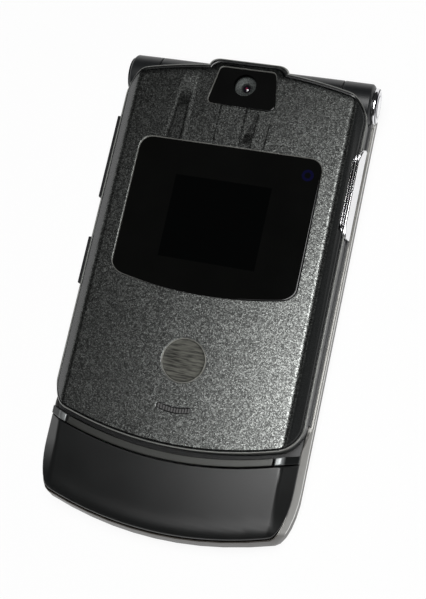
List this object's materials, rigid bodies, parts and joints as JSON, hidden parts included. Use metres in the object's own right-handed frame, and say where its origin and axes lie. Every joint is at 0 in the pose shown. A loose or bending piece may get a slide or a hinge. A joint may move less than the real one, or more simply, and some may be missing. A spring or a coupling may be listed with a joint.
{
  "type": "flip phone",
  "caption": "Slim clamshell phone, closed on its back: hinged flip with outer window and camera, chin, flat metal keypad, side keys and a lift-up battery cover.",
  "frame": {"origin": "on the back face, in the middle of the footprint", "axes": "+X to the right, +Y towards the hinge end, +Z out of the flip's outer face; the phone lies closed on its back"},
  "size_m": [0.054, 0.098, 0.0139],
  "materials": {
    "rim_silver": "satin pewter",
    "front_dark": "satin black",
    "chin_black": "soft matte black",
    "strip_grey": "satin grey",
    "web_light": "translucent light guide",
    "dome_film": "thin film",
    "board_green": "solder mask",
    "can_metal": "tinned",
    "battery_wrap": "printed wrap",
    "antenna_brass": "plated sheet",
    "steel": "machined",
    "chrome": "polished",
    "cover_metal": "fine metallic charcoal",
    "window_black": "polished black",
    "screen_black": "unlit display",
    "disc_grey": "fine brushed",
    "mesh_black": "woven mesh",
    "rubber_black": "soft rubber",
    "back_metal": "satin charcoal",
    "weight_metal": "sintered",
    "side_key_black": "satin",
    "key_metal": "etched satin"
  },
  "bodies": {
    "base": {"rear_housing": "rim_silver", "front_housing": "front_dark", "chin_cover": "chin_black", "chin_strip": "strip_grey", "keypad_web": "web_light", "dome_sheet": "dome_film", "main_board": "board_green", "shield_can": "can_metal", "sim_holder": "can_metal", "battery": "battery_wrap", "usb_port": "can_metal", "antenna": "antenna_brass", "hinge_cartridge": "steel", "hinge_sleeve": "steel", "hinge_caps": "chrome", "base_screws": "steel"},
    "flip": {"flip_cover": "cover_metal", "flip_housing": "front_dark", "outer_window": "window_black", "outer_display": "screen_black", "camera_window": "window_black", "camera_module": "steel", "round_plate": "disc_grey", "speaker_mesh": "mesh_black", "loudspeaker": "steel", "main_display": "screen_black", "inner_window": "window_black", "earpiece": "steel", "flip_board": "board_green", "vibration_motor": "steel", "magnet": "steel", "flip_bumpers": "rubber_black"},
    "battery_cover": {"battery_cover": "back_metal"},
    "battery_latch": {"battery_latch": "rubber_black"},
    "motor_weight": {"motor_weight": "weight_metal"},
    "volume_key": {"volume_key": "side_key_black"},
    "smart_key": {"smart_key": "side_key_black"},
    "voice_key": {"voice_key": "chrome"},
    "nav_ring": {"nav_ring": "key_metal"},
    "key_star": {"key_star": "key_metal"},
    "key_0": {"key_0": "key_metal"},
    "key_hash": {"key_hash": "key_metal"},
    "key_7": {"key_7": "key_metal"},
    "key_8": {"key_8": "key_metal"},
    "key_9": {"key_9": "key_metal"},
    "key_4": {"key_4": "key_metal"},
    "key_5": {"key_5": "key_metal"},
    "key_6": {"key_6": "key_metal"},
    "key_1": {"key_1": "key_metal"},
    "key_2": {"key_2": "key_metal"},
    "key_3": {"key_3": "key_metal"},
    "key_send": {"key_send": "key_metal"},
    "key_clear": {"key_clear": "key_metal"},
    "key_end": {"key_end": "key_metal"},
    "key_soft_left": {"key_soft_left": "key_metal"},
    "key_soft_right": {"key_soft_right": "key_metal"},
    "key_menu": {"key_menu": "key_metal"},
    "key_shortcut_left": {"key_shortcut_left": "key_metal"},
    "key_shortcut_right": {"key_shortcut_right": "key_metal"},
    "key_select": {"key_select": "key_metal"}
  },
  "joints": [
    {"name": "flip_hinge", "type": "hinge", "parent": "base", "child": "flip", "pos_m": [0, 0.0446, 0.008], "axis": [-1, 0, 0], "range_deg": [0, 160]},
    {"name": "battery_cover_tilt", "type": "hinge", "parent": "base", "child": "battery_cover", "pos_m": [0, -0.03181, 0.0004], "axis": [-1, 0, 0], "range_deg": [0, 25]},
    {"name": "latch_press", "type": "slide", "parent": "battery_cover", "child": "battery_latch", "axis": [0, 0, 1], "range_m": [0, 0.0004], "stiffness_N_per_m": 200},
    {"name": "motor_spin", "type": "hinge", "parent": "flip", "child": "motor_weight", "pos_m": [0.016, -0.0226, 0.01055], "axis": [1, 0, 0], "continuous": true},
    {"name": "volume_rock", "type": "hinge", "parent": "flip", "child": "volume_key", "pos_m": [-0.02525, 0.0253, 0.0096], "axis": [0, 0, 1], "range_deg": [-1.5, 1.5], "stiffness_Nm_per_rad": 0.02},
    {"name": "smart_press", "type": "slide", "parent": "flip", "child": "smart_key", "axis": [1, 0, 0], "range_m": [0, 0.0003], "stiffness_N_per_m": 200},
    {"name": "voice_press", "type": "slide", "parent": "flip", "child": "voice_key", "axis": [-1, 0, 0], "range_m": [0, 0.0003], "stiffness_N_per_m": 200},
    {"name": "nav_rock", "type": "hinge", "parent": "base", "child": "nav_ring", "pos_m": [0, 0.0202, 0.0065], "axis": [1, 0, 0], "range_deg": [-1.3, 1.3], "stiffness_Nm_per_rad": 0.02},
    {"name": "key_star_press", "type": "slide", "parent": "base", "child": "key_star", "axis": [0, 0, -1], "range_m": [0, 0.00022], "stiffness_N_per_m": 200},
    {"name": "key_0_press", "type": "slide", "parent": "base", "child": "key_0", "axis": [0, 0, -1], "range_m": [0, 0.00022], "stiffness_N_per_m": 200},
    {"name": "key_hash_press", "type": "slide", "parent": "base", "child": "key_hash", "axis": [0, 0, -1], "range_m": [0, 0.00022], "stiffness_N_per_m": 200},
    {"name": "key_7_press", "type": "slide", "parent": "base", "child": "key_7", "axis": [0, 0, -1], "range_m": [0, 0.00022], "stiffness_N_per_m": 200},
    {"name": "key_8_press", "type": "slide", "parent": "base", "child": "key_8", "axis": [0, 0, -1], "range_m": [0, 0.00022], "stiffness_N_per_m": 200},
    {"name": "key_9_press", "type": "slide", "parent": "base", "child": "key_9", "axis": [0, 0, -1], "range_m": [0, 0.00022], "stiffness_N_per_m": 200},
    {"name": "key_4_press", "type": "slide", "parent": "base", "child": "key_4", "axis": [0, 0, -1], "range_m": [0, 0.00022], "stiffness_N_per_m": 200},
    {"name": "key_5_press", "type": "slide", "parent": "base", "child": "key_5", "axis": [0, 0, -1], "range_m": [0, 0.00022], "stiffness_N_per_m": 200},
    {"name": "key_6_press", "type": "slide", "parent": "base", "child": "key_6", "axis": [0, 0, -1], "range_m": [0, 0.00022], "stiffness_N_per_m": 200},
    {"name": "key_1_press", "type": "slide", "parent": "base", "child": "key_1", "axis": [0, 0, -1], "range_m": [0, 0.00022], "stiffness_N_per_m": 200},
    {"name": "key_2_press", "type": "slide", "parent": "base", "child": "key_2", "axis": [0, 0, -1], "range_m": [0, 0.00022], "stiffness_N_per_m": 200},
    {"name": "key_3_press", "type": "slide", "parent": "base", "child": "key_3", "axis": [0, 0, -1], "range_m": [0, 0.00022], "stiffness_N_per_m": 200},
    {"name": "key_send_press", "type": "slide", "parent": "base", "child": "key_send", "axis": [0, 0, -1], "range_m": [0, 0.00022], "stiffness_N_per_m": 200},
    {"name": "key_clear_press", "type": "slide", "parent": "base", "child": "key_clear", "axis": [0, 0, -1], "range_m": [0, 0.00022], "stiffness_N_per_m": 200},
    {"name": "key_end_press", "type": "slide", "parent": "base", "child": "key_end", "axis": [0, 0, -1], "range_m": [0, 0.00022], "stiffness_N_per_m": 200},
    {"name": "key_soft_left_press", "type": "slide", "parent": "base", "child": "key_soft_left", "axis": [0, 0, -1], "range_m": [0, 0.00022], "stiffness_N_per_m": 200},
    {"name": "key_soft_right_press", "type": "slide", "parent": "base", "child": "key_soft_right", "axis": [0, 0, -1], "range_m": [0, 0.00022], "stiffness_N_per_m": 200},
    {"name": "key_menu_press", "type": "slide", "parent": "base", "child": "key_menu", "axis": [0, 0, -1], "range_m": [0, 0.00022], "stiffness_N_per_m": 200},
    {"name": "key_shortcut_left_press", "type": "slide", "parent": "base", "child": "key_shortcut_left", "axis": [0, 0, -1], "range_m": [0, 0.00022], "stiffness_N_per_m": 200},
    {"name": "key_shortcut_right_press", "type": "slide", "parent": "base", "child": "key_shortcut_right", "axis": [0, 0, -1], "range_m": [0, 0.00022], "stiffness_N_per_m": 200},
    {"name": "key_select_press", "type": "slide", "parent": "base", "child": "key_select", "axis": [0, 0, -1], "range_m": [0, 0.00022], "stiffness_N_per_m": 200}
  ]
}
